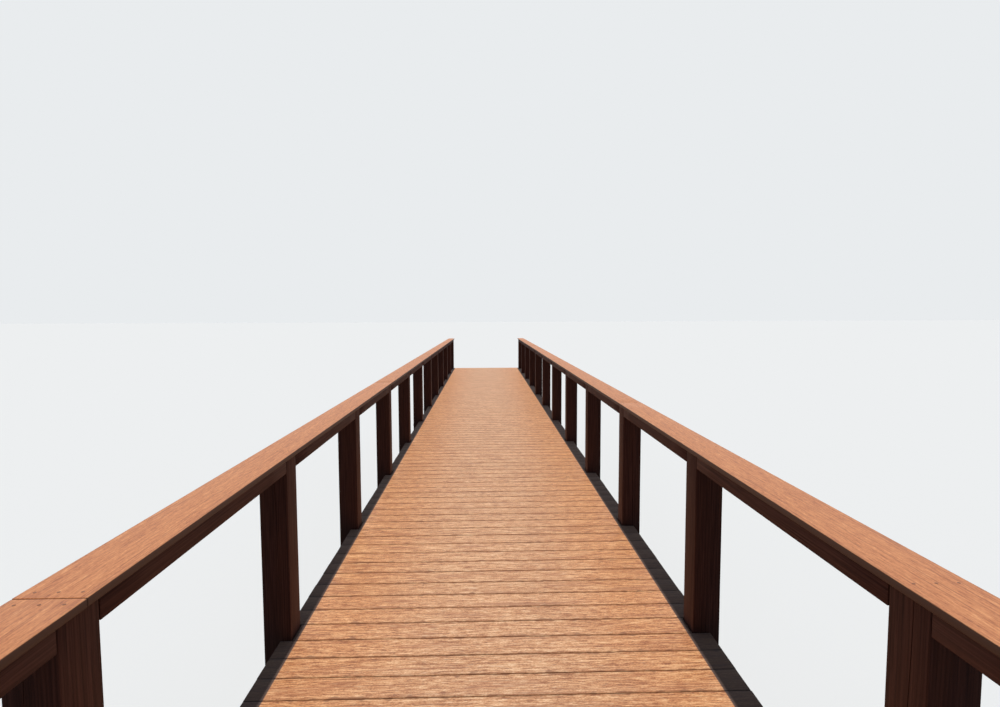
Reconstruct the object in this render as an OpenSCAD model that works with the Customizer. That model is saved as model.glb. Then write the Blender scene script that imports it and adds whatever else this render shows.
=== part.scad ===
// Wooden jetty: six bays of board walkway on timber piles, with a handrail down each side.
// Y runs along the jetty and Z is up, in millimetres. Left is -X, seen along +Y.
// The origin lies on the bed, level with the pile feet, under the middle of the walkway.

/* [Bays] */
// Bays from pile bent to pile bent
bay_count = 6; // [1:1:6]
// Rail post spacings in a bay
post_steps = 2; // [1:1:3]
// Rows of deck boards from one rail post to the next
rows_per_step = 10; // [6:1:12]
// Full deck boards past the posts at each end
end_rows = 1; // [1:1:3]

/* [Levels] */
// Depth of the bed below the water
water_depth = 650; // [300:50:1500]
// Top of the deck above the water
deck_rise = 1450; // [1200:50:2000]
// Top of the handrail above the deck
rail_rise = 950; // [850:5:1100]

/* [Deck] */
// Clear width between the rail posts
walk_w = 2040; // [1600:20:2400]
// Width of a deck board
board_w = 143; // [110:1:160]
// Thickness of a deck board
board_t = 25; // [20:1:38]
// Gap between deck boards
board_gap = 3; // [2:1:10]
// Reach of the deck boards past the outer stringer on the left
left_overhang = 55; // [30:5:100]
// Reach of the deck boards past the outer stringer on the right
right_overhang = 90; // [30:5:100]
// Gap between a short board's end and the post beside it
short_board_gap = 3; // [2:1:6]
// Bevel along the long edges of the deck and handrail boards
board_ease = 2; // [1:0.5:5]

/* [Handrail] */
// Side of the square rail posts
post_s = 140; // [90:5:150]
// Bevel along the edges of the posts, rail boards, stringers and beams
timber_ease = 5; // [1:0.5:8]
// How far the posts run down past the stringers
post_tail = 30; // [0:5:120]
// Width of the handrail board
handrail_w = 184; // [150:2:230]
// Thickness of the handrail board
handrail_t = 25; // [20:1:40]
// Gap between the ends of two handrail boards
handrail_joint = 3; // [1:1:6]
// Post spacings that one handrail board spans
handrail_steps = 3; // [1:1:3]
// Depth of the rail board that stands on edge under the handrail
rail_h = 89; // [60:1:140]
// Thickness of that rail board
rail_t = 38; // [25:1:45]
// Gap between a rail board's end and the post beside it
rail_end_gap = 2; // [1:1:5]

/* [Frame under the deck] */
// Lines of stringers on each side of the middle
stringers_per_side = 3; // [2:1:4]
// Depth of a stringer
stringer_h = 184; // [140:1:290]
// Thickness of a stringer
stringer_t = 38; // [38:1:75]
// Gap between the ends of two stringers over a bent
stringer_joint = 4; // [2:1:10]
// Thickness of the header board across the stringer ends
header_t = 38; // [25:1:50]

/* [Pile bents] */
// Depth of the two beams that clasp the piles
cap_h = 235; // [184:1:290]
// Thickness of each of those beams
cap_t = 38; // [38:1:60]
// Pile diameter at the head
pile_head_d = 230; // [200:5:260]
// Pile diameter at the foot
pile_foot_d = 205; // [160:5:230]
// Depth of the flat notch on each side of a pile head, where a beam seats
notch_d = 20; // [10:1:30]
// How far a pile head is cut off below the top of its beams
head_drop = 10; // [0:1:30]
// Distance from the outer stringer's face in to the middle of a pile
pile_inset = 240; // [180:5:400]

/* [Hidden] */
$fn = 64;

LEFT = -1;
RIGHT = 1;

// Turns that lay an upright timber along the walkway or across it
UPRIGHT = [0, 0, 0];
LENGTHWISE = [90, 0, 0];
CROSSWISE = [90, 0, 90];

// Heights, from the bed up
deck_z = water_depth + deck_rise;
stringer_top = deck_z - board_t;
stringer_foot = stringer_top - stringer_h;
cap_foot = stringer_foot - cap_h;
rail_top = deck_z + rail_rise - handrail_t;

// Spacings along the jetty. A post stands in a row of its own, beside the ends of a short board.
board_pitch = board_w + board_gap;
post_row = max(board_w, post_s);
post_pitch = post_row + board_gap + (rows_per_step - 1) * board_pitch;
bay_l = post_steps * post_pitch;
last_post = bay_count * post_steps;
deck_end = post_row / 2 + end_rows * board_pitch;

// Places across the jetty
outer_face = walk_w / 2;
post_x = outer_face + post_s / 2;
outer_stringer_x = outer_face - stringer_t / 2;
stringer_spacing = 2 * outer_stringer_x / (2 * stringers_per_side - 1);
pile_x = outer_face - pile_inset;
cap_face = pile_head_d / 2 - notch_d;

function numbered(name, count) = [for (i = [1:count]) str(name, "_", i)];

// Middle of bent i, and of rail post p, along the jetty: bents count from 1 and posts from 0
function bent_y(i) = (i - 1 - bay_count / 2) * bay_l;
function post_y(p) = bent_y(1) + p * post_pitch;

// Middle of deck row k past a post, where row 0 is the post's own
function row_y(k) = k == 0 ? 0 : post_row / 2 + board_gap + (k - 1) * board_pitch + board_w / 2;

// The section of a sawn timber, with its four long edges eased
module eased_section(w, h, ease) {
    polygon([[w / 2 - ease, -h / 2], [w / 2, ease - h / 2], [w / 2, h / 2 - ease],
             [w / 2 - ease, h / 2], [ease - w / 2, h / 2], [-w / 2, h / 2 - ease],
             [-w / 2, ease - h / 2], [ease - w / 2, -h / 2]]);
}

// A squared timber, from the low to the high value on each axis, cut from a bar that runs as told
module timber(run, x, y, z, ease = timber_ease) {
    size = [x[1] - x[0], y[1] - y[0], z[1] - z[0]];
    bar = run == CROSSWISE ? [size.y, size.z, size.x]
        : run == LENGTHWISE ? [size.x, size.z, size.y]
        : size;
    translate([x[0] + x[1], y[0] + y[1], z[0] + z[1]] / 2)
        rotate(run) linear_extrude(bar[2], center = true) eased_section(bar[0], bar[1], ease);
}

// A round pile, tapering to its foot, with a flat notch cut on both sides of its head
// so that each beam of the cap has a face to bear on and a shoulder to sit on
module pile() {
    head_z = stringer_foot - head_drop;
    difference() {
        cylinder(h = head_z, d1 = pile_foot_d, d2 = pile_head_d);
        for (side = [LEFT, RIGHT])
            translate([-pile_head_d, side > 0 ? cap_face : -cap_face - pile_head_d, cap_foot])
                cube([2 * pile_head_d, pile_head_d, cap_h]);
    }
}

module pile_pair(i) {
    color("#6b5a48")
        for (side = [LEFT, RIGHT])
            translate([side * pile_x, bent_y(i), 0]) pile();
}

// Two beams on edge that clasp the pile heads and carry the stringers
module pile_cap(i) {
    color("#8a6f4e")
        for (near = [bent_y(i) - cap_face - cap_t, bent_y(i) + cap_face])
            timber(CROSSWISE, [-outer_face, outer_face], [near, near + cap_t],
                   [cap_foot, stringer_foot]);
}

// One line of stringers, butted over the bents. Line 1 is the outermost.
module stringer_line(side, line) {
    x = side * (outer_stringer_x - (line - 1) * stringer_spacing);
    color("#8f744f")
        for (i = [1:bay_count]) {
            start = i == 1 ? bent_y(1) - deck_end + header_t : bent_y(i) + stringer_joint / 2;
            end = i == bay_count
                ? bent_y(i + 1) + deck_end - header_t
                : bent_y(i + 1) - stringer_joint / 2;
            timber(LENGTHWISE, [x - stringer_t / 2, x + stringer_t / 2], [start, end],
                   [stringer_foot, stringer_top]);
        }
}

// A board across the ends of the stringers, flush with the last deck board
module header(start) {
    color("#8f744f")
        timber(CROSSWISE, [-outer_face, outer_face], [start, start + header_t],
               [stringer_foot, stringer_top]);
}

// A deck board of width w whose middle is at y, with its ends at the two places in x
module deck_board(x, y, w) {
    timber(CROSSWISE, x, [y - w / 2, y + w / 2], [stringer_top, deck_z], board_ease);
}

module full_board(y) {
    deck_board([-outer_face - left_overhang, outer_face + right_overhang], y, board_w);
}

// A board that ends between a pair of posts and fills their row
module short_board(y) {
    deck_board([short_board_gap - outer_face, outer_face - short_board_gap], y, post_row);
}

module deck_bay(i) {
    color("#c98a5c") {
        for (step = [0:post_steps - 1]) {
            short_board(bent_y(i) + step * post_pitch);
            for (row = [1:rows_per_step - 1])
                full_board(bent_y(i) + step * post_pitch + row_y(row));
        }
        if (i == 1)
            for (row = [1:end_rows]) full_board(bent_y(1) - row_y(row));
        if (i == bay_count) {
            short_board(bent_y(i + 1));
            for (row = [1:end_rows]) full_board(bent_y(i + 1) + row_y(row));
        }
    }
}

// Square posts bolted to the outer face of the outer stringer, one at each post row
module posts(side) {
    color("#4a2a20")
        for (p = [0:last_post])
            timber(UPRIGHT, [side * post_x - post_s / 2, side * post_x + post_s / 2],
                   [post_y(p) - post_s / 2, post_y(p) + post_s / 2],
                   [stringer_foot - post_tail, rail_top]);
}

// Boards on edge between the posts, flush with their inner faces and tight under the handrail
module rails(side) {
    x = side * (outer_face + rail_t / 2);
    color("#57342a")
        for (p = [1:last_post])
            timber(LENGTHWISE, [x - rail_t / 2, x + rail_t / 2],
                   [post_y(p - 1) + post_s / 2 + rail_end_gap, post_y(p) - post_s / 2 - rail_end_gap],
                   [rail_top - rail_h, rail_top]);
}

// Flat boards along the post heads, butted over a post. The joints of one side don't face
// those of the other: first_joint is the first post with a joint over it.
module handrail(side, first_joint) {
    overhang = (handrail_w - post_s) / 2;
    joints = [for (p = [first_joint:handrail_steps:last_post - 1]) p];
    ends = concat([0], joints, [last_post]);
    color("#b4704a")
        for (n = [1:len(ends) - 1]) {
            start = n == 1
                ? post_y(0) - post_s / 2 - overhang
                : post_y(ends[n - 1]) + handrail_joint / 2;
            end = n == len(ends) - 1
                ? post_y(last_post) + post_s / 2 + overhang
                : post_y(ends[n]) - handrail_joint / 2;
            timber(LENGTHWISE, [side * post_x - handrail_w / 2, side * post_x + handrail_w / 2],
                   [start, end], [rail_top, rail_top + handrail_t], board_ease);
        }
}

for (i = [1:bay_count + 1]) {
    pile_pair(i);
    pile_cap(i);
}
for (line = [1:stringers_per_side]) {
    stringer_line(LEFT, line);
    stringer_line(RIGHT, line);
}
header(bent_y(1) - deck_end);  // near_header
header(bent_y(bay_count + 1) + deck_end - header_t);  // far_header
for (i = [1:bay_count])
    deck_bay(i);
posts(LEFT);  // left_posts
posts(RIGHT);  // right_posts
rails(LEFT);  // left_rails
rails(RIGHT);  // right_rails
handrail(LEFT, 1);  // left_handrail
handrail(RIGHT, handrail_steps);  // right_handrail
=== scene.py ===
# %% [markdown]
# This lesson dresses the frame of a wooden jetty: six bays of board walkway on round piles, with
# a flat handrail down each side. The frame comes from the workshop drawings and gives the sizes.
# What we add is what a carpenter and the weather add: rounded edges, boards that aren't quite
# straight, drying cracks, bolts, grain, stain and the dark tide mark on the piles.
# Y runs along the jetty, X across it and Z up. All lengths are in metres.

import math
import random

import bmesh
import bpy
from mathutils import Matrix, Vector, noise
from mathutils.bvhtree import BVHTree


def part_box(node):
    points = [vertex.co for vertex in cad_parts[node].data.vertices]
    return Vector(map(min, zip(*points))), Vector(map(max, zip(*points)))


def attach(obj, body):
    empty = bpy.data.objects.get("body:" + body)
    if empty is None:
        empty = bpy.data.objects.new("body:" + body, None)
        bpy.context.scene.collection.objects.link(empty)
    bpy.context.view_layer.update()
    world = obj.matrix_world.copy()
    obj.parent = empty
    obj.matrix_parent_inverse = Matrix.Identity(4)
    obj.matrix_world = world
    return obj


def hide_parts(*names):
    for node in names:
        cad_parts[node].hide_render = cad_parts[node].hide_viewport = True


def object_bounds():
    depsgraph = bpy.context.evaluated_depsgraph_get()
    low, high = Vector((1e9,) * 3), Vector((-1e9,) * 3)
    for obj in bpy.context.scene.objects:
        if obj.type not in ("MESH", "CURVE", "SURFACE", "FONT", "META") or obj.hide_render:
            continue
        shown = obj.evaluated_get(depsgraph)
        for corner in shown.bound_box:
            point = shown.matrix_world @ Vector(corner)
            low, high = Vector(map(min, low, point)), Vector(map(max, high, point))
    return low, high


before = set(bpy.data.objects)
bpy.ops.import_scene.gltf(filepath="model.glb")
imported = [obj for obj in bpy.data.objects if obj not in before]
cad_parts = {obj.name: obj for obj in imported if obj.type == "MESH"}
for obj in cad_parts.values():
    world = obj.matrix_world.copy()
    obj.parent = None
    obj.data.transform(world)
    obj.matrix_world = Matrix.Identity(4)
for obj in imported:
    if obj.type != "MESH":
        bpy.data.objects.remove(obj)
cad_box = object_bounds()
MM = 0.001
X, Y, Z = 0, 1, 2
print("The frame holds", len(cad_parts), "named pieces, from", cad_box[0], "to", cad_box[1])

# %% [markdown]
# A named piece of the frame often holds many timbers, such as the 20 boards of one bay of deck.
# To dress each board by itself we need its own corners. The frame's triangles are loose, so we
# weld a copy of them and walk from vertex to vertex: whatever hangs together is one timber.

# %% Find each timber of a frame piece
WELD = 0.01 * MM


def timbers_in(node):
    """The lowest and highest corner of each solid in a frame piece, in order along the jetty."""
    bm = bmesh.new()
    bm.from_mesh(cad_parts[node].data)
    bmesh.ops.remove_doubles(bm, verts=bm.verts, dist=WELD)
    waiting = set(bm.verts)
    boxes = []
    while waiting:
        solid = [waiting.pop()]
        for vert in solid:
            for edge in vert.link_edges:
                neighbour = edge.other_vert(vert)
                if neighbour in waiting:
                    waiting.remove(neighbour)
                    solid.append(neighbour)
        places = list(zip(*(v.co for v in solid)))
        boxes.append((Vector(min(p) for p in places), Vector(max(p) for p in places)))
    bm.free()
    return sorted(boxes, key=lambda box: (round(box[0].y, 4), box[0].x))


BAYS = sum(1 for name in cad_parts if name.startswith("deck_bay_"))
BENTS = BAYS + 1
STRINGER_LINES = sum(1 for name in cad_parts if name.startswith("left_stringer_"))
SIDES = {"left": -1, "right": 1}
posts = {side: timbers_in(side + "_posts") for side in SIDES}
beams = {bent: timbers_in(f"pile_cap_{bent}") for bent in range(1, BENTS + 1)}
DECK_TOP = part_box("deck_bay_1")[1].z
print("The deck is", round(DECK_TOP, 3), "m above the bed, with", len(posts["left"]), "posts a side")

# %% [markdown]
# The camera stands where a walker stands, just past the first posts and a little left of the
# middle, at eye height above the boards. Its lens is a wide one. The angles were found by
# lining up the handrails and the edges of the posts.

# %% Stand in the middle of the walkway
EYE_HEIGHT = 1.6204
EYE_X = -0.0407
EYE_PAST_POST = 0.1479
FOCAL_LENGTH_PX = 551.15
IMAGE_WIDTH_PX = 1000
SENSOR_WIDTH_MM = 36
TURNED_RIGHT = math.radians(1.5836)
TIPPED_DOWN = math.radians(3.7856)
ROLLED = math.radians(-0.1988)

first_post_y = (posts["left"][0][0].y + posts["left"][0][1].y) / 2
camera = bpy.data.objects.new("walker_view", bpy.data.cameras.new("walker_view"))
camera.data.sensor_width = SENSOR_WIDTH_MM
camera.data.lens = FOCAL_LENGTH_PX / IMAGE_WIDTH_PX * SENSOR_WIDTH_MM
camera.data.clip_start = 0.02
camera.data.clip_end = 1000
camera.matrix_world = (
    Matrix.Translation((EYE_X, first_post_y + EYE_PAST_POST, DECK_TOP + EYE_HEIGHT))
    @ Matrix.Rotation(-TURNED_RIGHT, 4, "Z")
    @ Matrix.Rotation(math.radians(90) - TIPPED_DOWN, 4, "X")
    @ Matrix.Rotation(ROLLED, 4, "Z")
)
bpy.context.scene.collection.objects.link(camera)
bpy.context.scene.camera = camera
print("The lens is", round(camera.data.lens, 2), "mm")

# %% [markdown]
# Colours are written as sRGB hex values, as a paint card gives them, and shaders want linear
# light, so one function turns the one into the other. A second small function adds any node
# with its settings, values and links, and, for a colour ramp, its stops. A Mix node has sockets
# of the same name for numbers and for colours, so those are counted instead.

# %% Two helpers for materials
NUMBER_A, NUMBER_B = 2, 3
COLOUR_A, COLOUR_B, COLOUR_OUT = 6, 7, 2


def linear(hex_colour):
    """An sRGB hex colour as linear red, green, blue and an alpha of one."""
    parts = [int(hex_colour[i:i + 2], 16) / 255 for i in (1, 3, 5)]
    return (*(p / 12.92 if p <= 0.04045 else ((p + 0.055) / 1.055) ** 2.4 for p in parts), 1)


def add_node(tree, kind, inputs=(), stops=(), **settings):
    """Adds a shader node, sets its properties, and fills or links its inputs."""
    node = tree.nodes.new("ShaderNode" + kind)
    for name, value in settings.items():
        setattr(node, name, value)
    for socket, value in dict(inputs).items():
        if isinstance(value, bpy.types.NodeSocket):
            tree.links.new(value, node.inputs[socket])
        else:
            node.inputs[socket].default_value = value
    for n, (place, colour) in enumerate(stops):
        ramp = node.color_ramp.elements
        stop = ramp[n] if n < len(ramp) else ramp.new(place)
        stop.position = place
        stop.color = linear(colour)
    return node


print("Mid grey in linear light is", round(linear("#808080")[0], 3))

# %% [markdown]
# The light is that of a plain studio with one high lamp, a little ahead of the walker, so that
# the handrails throw their narrow shade on the ends of the deck boards, and a low soft fill.
# The fill is a little blue and the lamp a little warm, as sky and sun are. The fill comes more
# from ahead than from behind the walker, so the posts' near faces lie in deep shade: its
# strength follows the Y of the direction that it comes from. On a level board ahead and behind
# cancel, and fill and lamp add up to white, at a strength of one, so a colour renders as it is
# written. The camera, and whatever mirrors, sees a pale background in place of the fill.

# %% Light and background
FILL = (0.155, 0.175, 0.205)
FILL_FROM_AHEAD = 0.85
LAMP = [1 - part for part in FILL]
LAMP_SOFTNESS = math.radians(0.8)
LAMP_LEAN = math.radians(10)
BACKGROUND = "#E9ECEE"

lamp = bpy.data.objects.new("high_lamp", bpy.data.lights.new("high_lamp", "SUN"))
lamp.data.energy = max(LAMP) * math.pi / math.cos(LAMP_LEAN)
lamp.data.color = [part / max(LAMP) for part in LAMP]
lamp.data.angle = LAMP_SOFTNESS
lamp.rotation_euler = (-LAMP_LEAN, 0, 0)
bpy.context.scene.collection.objects.link(lamp)

world = bpy.data.worlds.new("studio")
bpy.context.scene.world = world
world.use_nodes = True
tree = world.node_tree
tree.nodes.clear()
path = add_node(tree, "LightPath")
seen = add_node(tree, "Math", {0: path.outputs["Is Camera Ray"], 1: path.outputs["Is Glossy Ray"]},
                operation="MAXIMUM")
seen = add_node(tree, "Math", {0: seen.outputs[0], 1: path.outputs["Is Transmission Ray"]},
                operation="MAXIMUM")
coming_from = add_node(tree, "SeparateXYZ", {0: add_node(tree, "TexCoord").outputs["Generated"]})
ahead = add_node(tree, "Math", {0: coming_from.outputs["Y"], 1: FILL_FROM_AHEAD, 2: 1.0},
                 operation="MULTIPLY_ADD")
fill = add_node(tree, "Background", {"Color": (*FILL, 1), "Strength": ahead.outputs[0]})
backdrop = add_node(tree, "Background", {"Color": linear(BACKGROUND), "Strength": 1.0})
either = add_node(tree, "MixShader", {0: seen.outputs[0], 1: fill.outputs[0],
                                      2: backdrop.outputs[0]})
add_node(tree, "OutputWorld", {"Surface": either.outputs[0]})
bpy.context.scene.view_settings.view_transform = "Standard"
print("On a level board the light adds up to", [a + b for a, b in zip(FILL, LAMP)])

# %% [markdown]
# The floor is pale to the eye. To the jetty itself it is darker, as water is, so that it
# doesn't brighten the undersides from below. It is only there for the picture, so it is staged
# and doesn't count as a piece of the jetty.

# %% The floor
FLOOR_REACH = 420
FLOOR_SEEN = "#EDEFF0"
FLOOR_BOUNCED = "#6E7072"

bm = bmesh.new()
bmesh.ops.create_grid(bm, x_segments=1, y_segments=1, size=FLOOR_REACH)
floor_mesh = bpy.data.meshes.new("floor")
bm.to_mesh(floor_mesh)
bm.free()
floor = bpy.data.objects.new("floor", floor_mesh)
bpy.context.scene.collection.objects.link(floor)
floor_paint = bpy.data.materials.new("pale_floor")
floor_paint.use_nodes = True
tree = floor_paint.node_tree
tree.nodes.clear()
path = add_node(tree, "LightPath")
shown = add_node(tree, "BsdfDiffuse", {"Color": linear(FLOOR_SEEN)})
bounced = add_node(tree, "BsdfDiffuse", {"Color": linear(FLOOR_BOUNCED)})
either = add_node(tree, "MixShader", {0: path.outputs["Is Camera Ray"], 1: bounced.outputs[0],
                                      2: shown.outputs[0]})
add_node(tree, "OutputMaterial", {"Surface": either.outputs[0]})
floor_mesh.materials.append(floor_paint)
print("The floor reaches", FLOOR_REACH, "m each way")

# %% [markdown]
# Real grain isn't painted on. A board is cut out of a log, and each of its faces shows the rings
# and fibres that it cuts through: long lines on the faces, arcs on the ends. So every vertex of a
# timber is told where in its log it lies: how far along, and how far to either side of the
# pith. That is one vector attribute, "log", and all the wood finishes read it. A second
# attribute, "tone", is one random number for each timber, since no two boards weather alike.

# %% Where each timber lay in its log
LOG_LENGTH = 30.0


def mark_grain(bm, run, centre, pith, dice):
    """Writes the place in the log, and one tone for the whole timber, on every vertex."""
    place = bm.verts.layers.float_vector.new("log")
    tone = bm.verts.layers.float.new("tone")
    across, depth = [axis for axis in (X, Y, Z) if axis != run]
    start = dice.uniform(0, LOG_LENGTH)
    shade = dice.random()
    for vert in bm.verts:
        local = vert.co - centre
        vert[place] = (start + local[run], local[across] + pith[0], local[depth] + pith[1])
        vert[tone] = shade


# %% [markdown]
# One function makes every squared timber. It starts from a cube, stretches it to the timber's
# corners, rounds the long edges and takes a little off the ends, then cuts it into short
# lengths so that it can bend.

# %% A squared timber
END_EASE = 1.5 * MM
END_EASE_SHARE = 0.8
SHORTEST_EDGE = 20 * MM
NEAR = 0.05 * MM
CUT_NEAR = NEAR / 10


def ease_edges(bm, edges, offset, segments=1):
    """Rounds edges off, or with one segment chamfers them."""
    bmesh.ops.bevel(bm, geom=edges, offset=offset, offset_type="OFFSET", segments=segments,
                    profile=0.5, affect="EDGES", material=-1)


def edges_along(bm, run):
    """The edges that run along one axis."""
    found = []
    for edge in bm.edges:
        line = edge.verts[1].co - edge.verts[0].co
        if abs(line[run]) > SHORTEST_EDGE and line.length - abs(line[run]) < NEAR:
            found.append(edge)
    return found


def squared_timber(low, high, ease, lengths):
    """A sawn timber between two corners, its long edges rounded, in short lengths."""
    size = high - low
    run = max((X, Y, Z), key=lambda axis: size[axis])
    bm = bmesh.new()
    bmesh.ops.create_cube(bm, size=1.0)
    bmesh.ops.scale(bm, vec=size, verts=bm.verts)
    ease_edges(bm, edges_along(bm, run), ease, segments=2)
    rims = [e for e in bm.edges
            if all(abs(abs(v.co[run]) - size[run] / 2) < NEAR for v in e.verts)]
    ease_edges(bm, rims, min(END_EASE, END_EASE_SHARE * ease))
    bmesh.ops.translate(bm, vec=(low + high) / 2, verts=bm.verts)
    if lengths > 1:
        bmesh.ops.subdivide_edges(bm, edges=edges_along(bm, run), cuts=lengths - 1,
                                  use_grid_fill=True)
    return bm, run


sample = squared_timber(Vector((0, 0, 0)), Vector((0.1, 1, 0.1)), 4 * MM, 5)[0]
print("A metre of timber in five lengths has", len(sample.faces), "faces")
sample.free()

# %% [markdown]
# The bends are smooth noise: the timber bows as a whole, slowly, and each of its faces wanders
# by itself, faster, by a millimetre or so. The timber is first made narrower by as much, so it
# never leaves the room that the frame gives it. Each axis and each face reads its own track of
# the noise, and each timber a place of its own on it.

# %% Bend it a little
BOWS_PER_METRE = 0.7
WANDERS_PER_METRE = 4.0
NOISE_REACH = 500
WANDER_TRACK = 31.7
AXIS_TRACK = 9.1
FACE_TRACK = 3


def swing(along, where, track):
    """Smooth noise along a timber, held between -1 and 1."""
    return min(max(noise.noise(Vector((along, where, track))), -1), 1)


def bend(bm, run, low, high, bow, wobble, dice):
    """Bows a timber as a whole, and lets each face wander by itself, within its own box."""
    centre = (low + high) / 2
    where = dice.uniform(0, NOISE_REACH)
    for vert in bm.verts:
        along = vert.co[run]
        for axis in (X, Y, Z):
            if axis == run:
                continue
            half = (high[axis] - low[axis]) / 2
            offset = vert.co[axis] - centre[axis]
            side = math.copysign(1, offset)
            narrower = 1 - (bow + wobble) / half
            sway = bow * swing(along * BOWS_PER_METRE, where, axis * AXIS_TRACK)
            own = wobble * swing(along * WANDERS_PER_METRE, where + WANDER_TRACK,
                                 axis * AXIS_TRACK + side * FACE_TRACK)
            vert.co[axis] = centre[axis] + offset * narrower + sway + own


swings = [swing(n / 10, 0, 0) for n in range(100)]
print("The noise swings from", round(min(swings), 2), "to", round(max(swings), 2))

# %% [markdown]
# Parts of one kind are collected in one mesh, as the frame does. Each part is a bmesh of its
# own until it is bent and told its place in the log, and then it moves into the piece's bmesh.

# %% Collect timbers in a piece
LENGTH_STEP = 200 * MM


def add_part(piece, part):
    """Moves a part, a bmesh of its own, into the piece's bmesh."""
    bmesh.ops.recalc_face_normals(part, faces=part.faces)
    mesh = bpy.data.meshes.new("part")
    part.to_mesh(mesh)
    part.free()
    piece.from_mesh(mesh)
    bpy.data.meshes.remove(mesh)


def add_timber(piece, timber, run, low, high, dice, bow, wobble, pith_mm, middle=None):
    """Bends a timber, marks its grain round a pith that lies in two ranges, and adds it."""
    bend(timber, run, low, high, bow, wobble, dice)
    pith = [dice.uniform(*reach) * MM for reach in pith_mm]
    mark_grain(timber, run, (low + high) / 2 if middle is None else middle, pith, dice)
    add_part(piece, timber)


def lay_timber(piece, low, high, dice, ease, lengths=None, **kind):
    """Adds a squared timber, in lengths of about 200 mm if it isn't told how many."""
    lengths = lengths or round(max(high - low) / LENGTH_STEP)
    timber, run = squared_timber(low, high, ease, lengths)
    add_timber(piece, timber, run, low, high, dice, **kind)


# %% [markdown]
# Each finished piece sits at the origin with its place in its mesh, rides on the frame, takes
# over from the frame's own solid, and wears its finish. A fitting is seated later by sending a
# ray at a finished piece, so each piece's faces are kept in a tree, once one is asked for.

# %% Finish a piece
SMOOTH_UP_TO = math.radians(38)
made = {}
skins = {}


def finish_piece(bm, name, finish, replaces=()):
    """Turns a bmesh into an object that rides on the frame, in the place of its frame pieces."""
    mesh = bpy.data.meshes.new(name)
    bm.to_mesh(mesh)
    bm.free()
    mesh.shade_smooth()
    mesh.set_sharp_from_angle(angle=SMOOTH_UP_TO)
    mesh.materials.append(finish)
    piece = bpy.data.objects.new(name, mesh)
    bpy.context.scene.collection.objects.link(piece)
    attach(piece, "root")
    if replaces:
        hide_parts(*replaces)
    made[name] = piece


def surface_point(name, start, direction):
    """Where a line from a point first meets a finished piece."""
    if name not in skins:
        mesh = made[name].data
        skins[name] = BVHTree.FromPolygons([v.co for v in mesh.vertices],
                                           [list(p.vertices) for p in mesh.polygons])
    return skins[name].ray_cast(start, direction)[0]


# %% [markdown]
# The grain of all the wood finishes is made of the same two patterns. Fibres and streaks are
# noise drawn out along the log, many times longer than wide. Growth rings are circles round the
# pith that wander a little along the log. Each finish chooses its own sizes.

# %% Streaks and rings
RING_TEXTURE_PERIOD = 2 * math.pi / 20
RING_DRIFTS_PER_METRE = (1.6, 14.0, 14.0)


def drawn_out(tree, place, length_mm, width_mm, detail=3.0, roughness=0.55, moved=0.0):
    """Noise in streaks of about this length along the log and this width across it."""
    stretch = add_node(tree, "VectorMath", {
        0: place,
        1: (1 / (length_mm * MM), 1 / (width_mm * MM), 1 / (width_mm * MM)),
        2: (moved, moved, moved)}, operation="MULTIPLY_ADD")
    return add_node(tree, "TexNoise", {"Vector": stretch.outputs[0], "Scale": 1.0,
                                       "Detail": detail, "Roughness": roughness}).outputs["Fac"]


def growth_rings(tree, place, ring_mm, wander_mm):
    """Dark late wood against pale early wood, from 0 to 1, in rings that wander."""
    slow = add_node(tree, "VectorMath", {0: place, 1: RING_DRIFTS_PER_METRE},
                    operation="MULTIPLY")
    drift = add_node(tree, "TexNoise", {"Vector": slow.outputs[0], "Scale": 1.0, "Detail": 2.0})
    centred = add_node(tree, "VectorMath", {0: drift.outputs["Color"], 1: (0.5, 0.5, 0.5)},
                       operation="SUBTRACT")
    amount = 2 * wander_mm * MM
    moved = add_node(tree, "VectorMath", {0: centred.outputs[0], 1: (0, amount, amount),
                                          2: place}, operation="MULTIPLY_ADD")
    rings = add_node(tree, "TexWave", {"Vector": moved.outputs[0],
                                       "Scale": RING_TEXTURE_PERIOD / (ring_mm * MM)},
                     wave_type="RINGS", rings_direction="X", wave_profile="SIN")
    return rings.outputs["Fac"]


print("A growth ring of 10 mm has a wave scale of", round(RING_TEXTURE_PERIOD / (10 * MM), 2))

# %% [markdown]
# A pattern becomes colour as a tint laid over what is there, from none at one value of the
# pattern to its full strength at another. That strength may be a second pattern, and the tint
# then shows only where both do.

# %% From a pattern to a tint
def share(tree, pattern, low, high, most=1.0):
    """How far a pattern has come from low to high, as a number from 0 to most."""
    step = add_node(tree, "MapRange", {"Value": pattern, "From Min": low, "From Max": high,
                                       "To Max": most}, interpolation_type="SMOOTHSTEP")
    return step.outputs["Result"]


def tint(tree, colour, pattern, low, high, most, hex_colour, how="MIX"):
    """Lays a tint over a colour, as strongly as the pattern's share says."""
    mixed = add_node(tree, "Mix", {0: share(tree, pattern, low, high, most), COLOUR_A: colour,
                                   COLOUR_B: linear(hex_colour)}, data_type="RGBA",
                     blend_type=how)
    return mixed.outputs[COLOUR_OUT]


# %% [markdown]
# Every finish starts as a plain shader with one roughness. Where a part of it is glossier than
# the rest, a pattern moves the roughness. At its end it gets its colour, each timber a little
# darker or paler than its neighbour by its own tone, and a relief, made from the same streaks
# as the colour, so that light and colour agree.

# %% Start and end of a finish
def new_finish(name, roughness):
    """A material with its node tree and its shader."""
    material = bpy.data.materials.new(name)
    material.use_nodes = True
    tree = material.node_tree
    shader = tree.nodes["Principled BSDF"]
    shader.inputs["Roughness"].default_value = roughness
    return material, tree, shader


def vary_gloss(tree, shader, pattern, glossier, duller):
    """Moves the roughness from one value to another as the pattern goes from 0 to 1."""
    between = add_node(tree, "MapRange", {"Value": pattern, "To Min": glossier, "To Max": duller})
    tree.links.new(between.outputs["Result"], shader.inputs["Roughness"])


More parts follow.
